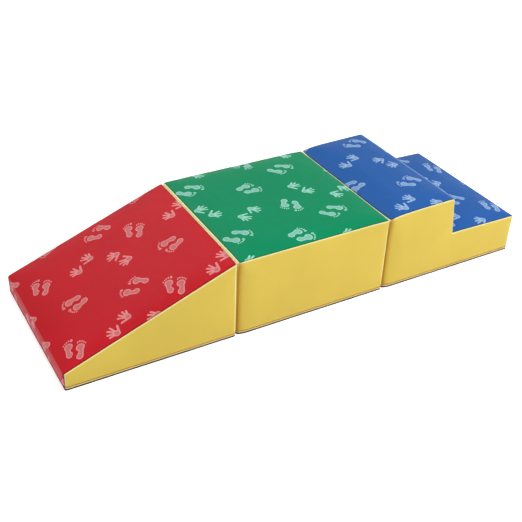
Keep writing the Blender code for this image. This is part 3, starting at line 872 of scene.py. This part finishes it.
# Each vinyl's colour, then that of its painted shade, that of its painted highlights and print rim, and its
# ink
YELLOW = make_vinyl("yellow_vinyl", (221, 194, 86), (180, 118, 2), (255, 252, 196))
BASE_VINYL = make_vinyl("charcoal_base_vinyl", (16, 12, 8), (10, 8, 6), (16, 12, 8))
PRINT_COLOURS = {
    "red": ((210, 26, 40), (132, 14, 24), (252, 168, 168), (222, 128, 128)),
    "green": ((0, 146, 97), (0, 96, 62), (172, 238, 218), (148, 208, 194)),
    "blue": ((42, 99, 175), (24, 60, 118), (172, 204, 240), (140, 176, 216)),
}
PRINTED = {name: make_vinyl(f"printed_{name}_vinyl", *row) for name, row in PRINT_COLOURS.items()}
COVERS = {}
FORMS = {}
HEM_PATHS = {}
for block in BLOCKS:
    form = shape_form(block)
    finishes = {name: YELLOW for name in block.panels()}
    finishes[block.cover] = PRINTED[block.colour]
    finishes["base_panel"] = BASE_VINYL
    mark_panels(block, form, finishes)
    pull_edges(block, form)
    stuff(block, form)
    FORMS[block.name] = form.data.copy()
    sew(block, form)
    HEM_PATHS[block.name] = hem_path(form)
    COVERS[block.name] = cut_panels(block, form, finishes)
    for name, panel in COVERS[block.name].items():
        if name == "base_panel":
            continue
        apply_modifier(panel, "sheet", "SOLIDIFY", thickness=SHEET, offset=-1.0, use_even_offset=True)
        bpy.ops.object.shade_smooth_by_angle(angle=math.radians(50.0))
        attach(panel, block.name)
        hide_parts(f"{block.name}_{name}")


# Foam. Each block is one piece of firm cream foam, cut a little smaller than its cover, with a shallow
# trench in its underside that leaves room for the zipper.
FOAM_INSET = 0.0026
TRENCH_HALF = 0.0218
TRENCH_END = 0.2735
TRENCH_TOP = 0.0081
FOAM_CREAM = (234, 221, 184)
FOAM_TINT = (0.94, 1.04)
FOAM_CLOUDS_PER_METRE = 14.0
FOAM_CELLS_PER_METRE = 900.0
FOAM_CELL_DEPTH = 0.0006


def zipper_middle(block):
    low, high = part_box(f"{block.name}_zipper_chain")
    return (low.x + high.x) / 2.0


def in_rectangle(face, middle, half, end):
    centre = face.calc_center_median()
    return abs(centre.x - middle) < half and abs(centre.y) < end


def cut_rectangle(middle, half, end):
    """Cuts along the four sides of a rectangle round the zipper's line, in edit mode."""
    for side in (-1.0, 1.0):
        cut((middle + side * half, 0.0, 0.0), (1.0, 0.0, 0.0))
        cut((0.0, side * end, 0.0), (0.0, 1.0, 0.0))


def make_foam():
    made, tree, shader = new_material("cream_foam")
    place = object_place(tree)
    cells = cell_node(tree, place, FOAM_CELLS_PER_METRE)
    tint = uneven(tree, noise_node(tree, place, FOAM_CLOUDS_PER_METRE, 3.0), *FOAM_TINT)
    tree.links.new(tinted(tree, FOAM_CREAM, tint), shader["Base Color"])
    shader["Roughness"].default_value = 0.95
    shader["Specular IOR Level"].default_value = 0.2
    add_bump(tree, cells, 0.5, FOAM_CELL_DEPTH, shader)
    return made


FOAM = make_foam()
for block in BLOCKS:
    core = bpy.data.objects.new(f"{block.name}_foam", FORMS[block.name])
    bpy.context.scene.collection.objects.link(core)
    core.data.name = core.name
    core.data.attributes.remove(core.data.attributes["panel"])
    core.data.uv_layers.remove(core.data.uv_layers["cloth"])
    core.data.materials.clear()
    core.data.materials.append(FOAM)
    core.data.polygons.foreach_set("material_index", [0] * len(core.data.polygons))
    put_coordinates(core.data, coordinates(core.data) - normals(core.data) * FOAM_INSET)
    middle = zipper_middle(block)
    open_to_edit(core)
    cut_rectangle(middle, TRENCH_HALF, TRENCH_END)
    trench = (middle, TRENCH_HALF, TRENCH_END)
    pick(core, "FACE", lambda f: f.normal.z < -STRAIGHT and in_rectangle(f, *trench))
    rise = (0.0, 0.0, TRENCH_TOP - FOAM_INSET)
    bpy.ops.mesh.extrude_region_move(TRANSFORM_OT_translate={"value": rise})
    close_and_smooth(40.0)
    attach(core, block.name)
    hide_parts(f"{block.name}_foam_core")


# Base. A charcoal sheet closes each cover underneath, and its edge shows as a dark line at the floor.
# A zipper runs across it in a slot between two folded hems.
BASE_SHEET = 0.0010
SLOT_HALF = 0.0060
SLOT_END = 0.2640
HEM_WIDTH = 0.0065
HEM_TOP = 0.00275
for block in BLOCKS:
    base = COVERS[block.name]["base_panel"]
    middle = zipper_middle(block)
    open_to_edit(base)
    slot, hem = (middle, SLOT_HALF, SLOT_END), (middle, SLOT_HALF + HEM_WIDTH, SLOT_END + HEM_WIDTH)
    cut_rectangle(*slot)
    cut_rectangle(*hem)
    pick(base, "FACE", lambda f: in_rectangle(f, *slot))
    bpy.ops.mesh.delete(type="FACE")
    bpy.ops.object.mode_set(mode="OBJECT")
    apply_modifier(base, "sheet", "SOLIDIFY", thickness=BASE_SHEET, offset=-1.0, use_even_offset=True)
    open_to_edit(base)
    pick(base, "FACE", lambda f: f.normal.z > STRAIGHT and in_rectangle(f, *hem))
    bpy.ops.mesh.extrude_region_move(TRANSFORM_OT_translate={"value": (0.0, 0.0, HEM_TOP - BASE_SHEET)})
    close_and_smooth(40.0)
    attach(base, block.name)
    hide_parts(f"{block.name}_base_panel")


# Zippers. A woven tape is sewn to each hem, and moulded teeth lock together along the middle. The
# metal slider has no tab, so that children can't open the cover.
TOOTH_PITCH = 0.0024
TOOTH_LENGTH = 0.0011
TOOTH_OVERLAP = 0.0012
TOOTH_BEVEL = 0.0003
TAPE_EDGE = 0.0001
TAPE_CELL = 0.02
TAPE_THREAD = 0.0007
TAPE_GREY = (38, 38, 40)
WEAVE_SHADE = (0.72, 1.08)
TOOTH_GREY = (46, 46, 49)
TOOTH_SPECKS_PER_METRE = 90.0
NICKEL_GREY = (178, 176, 172)
BRUSH_LINES_PER_METRE = 3000.0
BRUSH_STRETCH = 0.08


def make_weave():
    """Group: the height and shade of a fine twill of threads this far apart."""
    tree, given, made = new_group(
        "twill", [("Thread", "Float"), ("Colour", "Color")], [("Colour", "Color"), ("Height", "Float")]
    )
    parts = node(tree, "ShaderNodeSeparateXYZ", object_place(tree)).node.outputs
    turns = math_node(tree, "DIVIDE", 2.0 * math.pi, given["Thread"])
    warp = math_node(tree, "SINE", math_node(tree, "MULTIPLY", parts["X"], turns))
    slant = math_node(tree, "ADD", parts["Y"], math_node(tree, "MULTIPLY", parts["X"], 0.5))
    weft = math_node(tree, "SINE", math_node(tree, "MULTIPLY", slant, turns))
    high = math_node(tree, "MAXIMUM", warp, weft)
    tree.links.new(high, made["Height"])
    shade = ramp_node(tree, high, -1.0, 1.0, *WEAVE_SHADE)
    tree.links.new(scaled(tree, given["Colour"], shade), made["Colour"])
    return tree


WEAVE = make_weave()


def make_tape():
    made, tree, shader = new_material("woven_tape")
    woven = use_group(tree, WEAVE, Thread=TAPE_THREAD, Colour=linear(*TAPE_GREY))
    tree.links.new(woven["Colour"], shader["Base Color"])
    shader["Roughness"].default_value = 0.85
    add_bump(tree, woven["Height"], 0.6, 0.0001, shader)
    return made


def make_teeth():
    made, tree, shader = new_material("moulded_teeth")
    tint = uneven(tree, noise_node(tree, object_place(tree), TOOTH_SPECKS_PER_METRE), 0.9, 1.1)
    tree.links.new(tinted(tree, TOOTH_GREY, tint), shader["Base Color"])
    shader["Roughness"].default_value = 0.38
    return made


def make_nickel():
    made, tree, shader = new_material("brushed_nickel")
    scale = node(tree, "ShaderNodeMapping", object_place(tree)).node
    scale.inputs["Scale"].default_value = (1.0, BRUSH_STRETCH, 1.0)
    lines = noise_node(tree, scale.outputs[0], BRUSH_LINES_PER_METRE, 3.0)
    tint = uneven(tree, lines, 0.9, 1.06)
    tree.links.new(tinted(tree, NICKEL_GREY, tint), shader["Base Color"])
    tree.links.new(uneven(tree, lines, 0.26, 0.42), shader["Roughness"])
    shader["Metallic"].default_value = 1.0
    add_bump(tree, lines, 0.2, 0.00005, shader)
    return made


def is_long_edge(edge):
    """True for the tape's own edges, and not for the lines cut across it."""
    run = edge.verts[0].co - edge.verts[1].co
    return abs(run.y) > WELD and edge.calc_face_angle(0.0) > 1.0


TAPE, TEETH, NICKEL = make_tape(), make_teeth(), make_nickel()
for block in BLOCKS:
    for side in ("left", "right"):
        low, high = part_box(f"{block.name}_zipper_{side}_tape")
        tape = add_cube(f"{block.name}_{side}_tape", (low + high) / 2.0, high - low)
        open_to_edit(tape)
        for y in between(low.y, high.y, TAPE_CELL)[1:-1]:
            cut((0.0, y, 0.0), (0.0, 1.0, 0.0))
        pick(tape, "EDGE", is_long_edge)
        bpy.ops.mesh.bevel(offset=TAPE_EDGE, segments=2, affect="EDGES")
        close_and_smooth(40.0)
        tape.data.materials.append(TAPE)
        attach(tape, block.name)
        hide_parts(f"{block.name}_zipper_{side}_tape")
    low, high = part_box(f"{block.name}_zipper_chain")
    middle = (low + high) / 2.0
    rows = []
    for side in (-1.0, 1.0):
        inner, outer = middle.x - side * TOOTH_OVERLAP, middle.x + side * (high.x - low.x) / 2.0
        start = low.y + TOOTH_LENGTH / 2.0 + (TOOTH_PITCH / 2.0 if side > 0.0 else 0.0)
        count = int((high.y - TOOTH_LENGTH / 2.0 - start) / TOOTH_PITCH) + 1
        size = (abs(outer - inner), TOOTH_LENGTH, high.z - low.z)
        row = add_cube(f"{block.name}_teeth", ((inner + outer) / 2.0, start, middle.z), size)
        open_to_edit(row)
        bpy.ops.mesh.select_all(action="SELECT")
        bpy.ops.mesh.bevel(offset=TOOTH_BEVEL, segments=1, affect="EDGES")
        bpy.ops.object.mode_set(mode="OBJECT")
        apply_modifier(
            row, "repeat", "ARRAY", count=count, use_relative_offset=False, use_constant_offset=True,
            constant_offset_displace=(0.0, TOOTH_PITCH, 0.0),
        )
        rows.append(row)
    teeth = rows[0]
    bpy.ops.object.select_all(action="DESELECT")
    for row in rows:
        row.select_set(True)
    bpy.context.view_layer.objects.active = teeth
    bpy.ops.object.join()
    bpy.ops.object.shade_smooth_by_angle(angle=math.radians(30.0))
    teeth.data.materials.append(TEETH)
    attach(teeth, block.name)
    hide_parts(f"{block.name}_zipper_chain")
    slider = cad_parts[f"{block.name}_zipper_slider"]
    for finish in slider.material_slots:
        finish.material = NICKEL


# Fastening strips. Two rows of hook or loop tape are sewn flat across each end that meets the next
# block, one low and one high. Each has a bare sewn border round a raised field of hooks or loops.
STRIP_BORDER = 0.0035
STRIP_CORNER = 0.0050
STRIP_BACKING = 0.00055
PILE_SLOPE = 0.0004
PILE_SHADE = (1.12, 0.7)


def make_strip_finish(name, colour, per_metre, height, feature):
    made, tree, shader = new_material(name)
    place = object_place(tree)
    cells = cell_node(tree, place, per_metre, feature)
    shade = ramp_node(tree, cells, 0.0, 0.8, *PILE_SHADE)
    tree.links.new(tinted(tree, colour, shade), shader["Base Color"])
    shader["Roughness"].default_value = 0.9
    add_bump(tree, math_node(tree, "SUBTRACT", 1.0, cells), 0.8, height, shader)
    return made


STRIP_FINISHES = {
    "hook": make_strip_finish("hook_tape", (36, 36, 38), 650.0, 0.0006, "F1"),
    "loop": make_strip_finish("loop_tape", (44, 44, 46), 1400.0, 0.0004, "SMOOTH_F1"),
}
STRIPS = {}
for block in BLOCKS:
    kind = "loop" if block.joined_left and block.joined_right else "hook"
    for side in ["left"] * block.joined_left + ["right"] * block.joined_right:
        outward = -1.0 if side == "left" else 1.0
        for level in ("lower", "upper"):
            name = f"{block.name}_{side}_{level}_{kind}"
            low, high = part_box(f"{name}_strip")
            face = low.x if side == "right" else high.x
            middle = Vector((face + outward * STRIP_BACKING / 2.0, 0.0, (low.z + high.z) / 2.0))
            strip = add_cube(f"{name}_tape", middle, (STRIP_BACKING, high.y - low.y, high.z - low.z))
            open_to_edit(strip)
            pick(strip, "EDGE", lambda e: abs((e.verts[0].co - e.verts[1].co).x) > WELD)
            bpy.ops.mesh.bevel(offset=STRIP_CORNER, segments=4, affect="EDGES")
            pick(strip, "FACE", lambda f: f.normal.x * outward > STRAIGHT)
            bpy.ops.mesh.inset(thickness=STRIP_BORDER)
            rise = (outward * (high.x - low.x - STRIP_BACKING), 0.0, 0.0)
            bpy.ops.mesh.extrude_region_move(TRANSFORM_OT_translate={"value": rise})
            bpy.ops.mesh.inset(thickness=PILE_SLOPE)
            close_and_smooth(30.0)
            strip.data.materials.append(STRIP_FINISHES[kind])
            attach(strip, block.name)
            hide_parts(f"{name}_strip")
            STRIPS[name] = (block.name, low, high, outward)


# Stitching. Thick thread runs in the groove over the base hem, round the zipper slot and round every
# fastening strip, in even stitches that sink into the cloth at their ends.
STITCH_LENGTH = 0.0036
STITCH_WIDTH = 0.0007
STITCH_HEIGHT = 0.0006
STITCH_PITCH = 0.0052
PLY_PER_METRE = 1500.0
bpy.ops.object.select_all(action="DESELECT")
bpy.ops.mesh.primitive_uv_sphere_add(segments=6, ring_count=5, radius=1.0)
STITCH = bpy.context.object
bpy.ops.object.mode_set(mode="EDIT")
bpy.ops.mesh.select_all(action="SELECT")
bpy.ops.transform.rotate(value=math.radians(90.0), orient_axis="Y", center_override=(0.0, 0.0, 0.0))
half = (STITCH_LENGTH / 2.0, STITCH_WIDTH / 2.0, STITCH_HEIGHT / 2.0)
bpy.ops.transform.resize(value=half, center_override=(0.0, 0.0, 0.0))
bpy.ops.object.mode_set(mode="OBJECT")
STITCH_POINTS = coordinates(STITCH.data)
STITCH_FACES = [tuple(face.vertices) for face in STITCH.data.polygons]
bpy.data.objects.remove(STITCH)


def make_thread(name, colour):
    made, tree, shader = new_material(name)
    ply = noise_node(tree, object_place(tree), PLY_PER_METRE, 2.0)
    tree.links.new(tinted(tree, colour, uneven(tree, ply, 0.8, 1.1)), shader["Base Color"])
    shader["Roughness"].default_value = 0.6
    add_bump(tree, ply, 0.5, 0.0001, shader)
    return made


def walk(corners, outward):
    """Stitch places along a closed line: the place, the way it runs and the way it faces."""
    corners = [Vector(corner) for corner in corners]
    ends = corners[1:] + corners[:1]
    lengths = [(end - start).length for start, end in zip(corners, ends)]
    count = round(sum(lengths) / STITCH_PITCH)
    step = sum(lengths) / count
    spots, gone, number = [], 0.0, 0
    for start, end, length in zip(corners, ends, lengths):
        while number < count and number * step <= gone + length:
            along = (end - start).normalized()
            facing = outward or along.cross(Vector((0.0, 0.0, 1.0)))
            spots.append((start + along * (number * step - gone), along, facing))
            number += 1
        gone += length
    return spots


def sew_row(name, body, spots, thread):
    points, faces = [], []
    for place, along, facing in spots:
        facing = (facing - along * facing.dot(along)).normalized()
        turn = np.array(Matrix((along, facing.cross(along), facing)))
        faces += [tuple(len(points) + corner for corner in face) for face in STITCH_FACES]
        points += [tuple(point) for point in STITCH_POINTS @ turn + np.array(place)]
    mesh = bpy.data.meshes.new(name)
    mesh.from_pydata(points, [], faces)
    row = bpy.data.objects.new(name, mesh)
    bpy.context.scene.collection.objects.link(row)
    mesh.materials.append(thread)
    take(row)
    bpy.ops.object.shade_smooth()
    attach(row, body)


YELLOW_THREAD = make_thread("yellow_thread", (172, 138, 44))
DARK_THREAD = make_thread("dark_thread", (40, 40, 42))
SLOT_STITCH = 0.0030
STITCH_SINK = 0.00015
STRIP_STITCH = 0.0017
for block in BLOCKS:
    spots = walk(HEM_PATHS[block.name], None)
    sew_row(f"{block.name}_hem_stitches", block.name, spots, YELLOW_THREAD)
    across = SLOT_HALF + SLOT_STITCH
    up = SLOT_END + SLOT_STITCH
    middle = zipper_middle(block)
    corners = [(middle + x * across, y * up, STITCH_SINK) for x, y in ((-1, -1), (1, -1), (1, 1), (-1, 1))]
    spots = walk(corners, Vector((0.0, 0.0, -1.0)))
    sew_row(f"{block.name}_slot_stitches", block.name, spots, DARK_THREAD)
for name, (body, low, high, outward) in STRIPS.items():
    face = (low.x if outward > 0.0 else high.x) + outward * STRIP_BACKING
    ends = [(y, z) for y, z in ((low.y, low.z), (high.y, low.z), (high.y, high.z), (low.y, high.z))]
    centre = (low + high) / 2.0
    corners = [
        (face, y - math.copysign(STRIP_STITCH, y - centre.y), z - math.copysign(STRIP_STITCH, z - centre.z))
        for y, z in ends
    ]
    spots = walk(corners, Vector((outward, 0.0, 0.0)))
    sew_row(f"{name}_stitches", body, spots, DARK_THREAD)


# Floor, lamps and camera. The floor is plain and white, and three large round lamps light the blocks
# softly from the front right, the front left and the back. The camera has the photograph's viewpoint.
CAMERA_PLACE = Vector((-1.4673, -2.3855, 1.9123))
CAMERA_AZIMUTH, CAMERA_ELEVATION, CAMERA_ROLL = (math.radians(angle) for angle in (-30.784, 33.843, 2.365))
LENS_MM = 60.64
FLOOR_WHITE = 0.60
FLOOR_SIZE = 60.0
FLOOR_DROP = 0.0004
WORLD_LIGHT = 0.38
WALL_RISE = (0.25, 0.50)
LAMP_TARGET = Vector((0.0, 0.0, 0.15))


def seen_rays(tree, mirrors=1.0):
    """The rays that see a white backdrop: the camera's, and those by way of metal and glass."""
    path = tree.nodes.new("ShaderNodeLightPath").outputs
    mirrored = math_node(tree, "MAXIMUM", path["Is Glossy Ray"], path["Is Transmission Ray"])
    mirrored = math_node(tree, "MULTIPLY", mirrored, mirrors)
    return math_node(tree, "MAXIMUM", path["Is Camera Ray"], mirrored)


bpy.ops.object.select_all(action="DESELECT")
bpy.ops.mesh.primitive_plane_add(size=FLOOR_SIZE, location=(0.0, 0.0, -FLOOR_DROP))
floor = bpy.context.object
bpy.ops.object.transform_apply(location=True, rotation=True, scale=True)
floor.name = floor.data.name = "floor"
made, tree, shader = new_material("white_floor")
shader["Base Color"].default_value = (0.92, 0.92, 0.92, 1.0)
shader["Roughness"].default_value = 0.9
shader["Emission Color"].default_value = (1.0, 1.0, 1.0, 1.0)
white = math_node(tree, "MULTIPLY", seen_rays(tree), FLOOR_WHITE)
tree.links.new(white, shader["Emission Strength"])
floor.data.materials.append(made)

world = bpy.data.worlds.new("studio")
bpy.context.scene.world = world
world.use_nodes = True
tree = world.node_tree
backdrop = tree.nodes["Background"]
sky = tree.nodes.new("ShaderNodeTexCoord").outputs["Generated"]
height = node(tree, "ShaderNodeSeparateXYZ", sky).node.outputs["Z"]
wall = ramp_node(tree, height, *WALL_RISE, 1.0, 0.0)
backdrop.inputs["Color"].default_value = (1.0, 1.0, 1.0, 1.0)
light = ramp_node(tree, seen_rays(tree, wall), 0.0, 1.0, WORLD_LIGHT, 1.0)
tree.links.new(light, backdrop.inputs["Strength"])

# Each lamp's name, place, width and power
LAMPS = (
    ("key_lamp", (2.9, -3.4, 3.9), 2.3, 203.0),
    ("fill_lamp", (-2.6, -1.6, 2.4), 2.6, 16.0),
    ("back_lamp", (-0.7, 2.9, 3.1), 2.6, 34.0),
)
for name, place, size, watts in LAMPS:
    lamp = bpy.data.lights.new(name, "AREA")
    lamp.shape = "DISK"
    lamp.size = size
    lamp.energy = watts
    holder = bpy.data.objects.new(name, lamp)
    bpy.context.scene.collection.objects.link(holder)
    holder.location = place
    holder.rotation_euler = (LAMP_TARGET - Vector(place)).to_track_quat("-Z", "Y").to_euler()

back = Vector((
    math.sin(CAMERA_AZIMUTH) * math.cos(CAMERA_ELEVATION),
    -math.cos(CAMERA_AZIMUTH) * math.cos(CAMERA_ELEVATION),
    math.sin(CAMERA_ELEVATION),
))
right = (-back).cross(Vector((0.0, 0.0, 1.0))).normalized()
up = back.cross(right)
roll_right = right * math.cos(CAMERA_ROLL) + up * math.sin(CAMERA_ROLL)
roll_up = up * math.cos(CAMERA_ROLL) - right * math.sin(CAMERA_ROLL)
lens = bpy.data.cameras.new("camera")
lens.lens = LENS_MM
lens.clip_start = 0.1
lens.clip_end = 100.0
camera = bpy.data.objects.new("camera", lens)
bpy.context.scene.collection.objects.link(camera)
turn = Matrix((roll_right, roll_up, back)).transposed()
camera.matrix_world = Matrix.Translation(CAMERA_PLACE) @ turn.to_4x4()
bpy.context.scene.camera = camera
bpy.context.scene.view_settings.view_transform = "Standard"
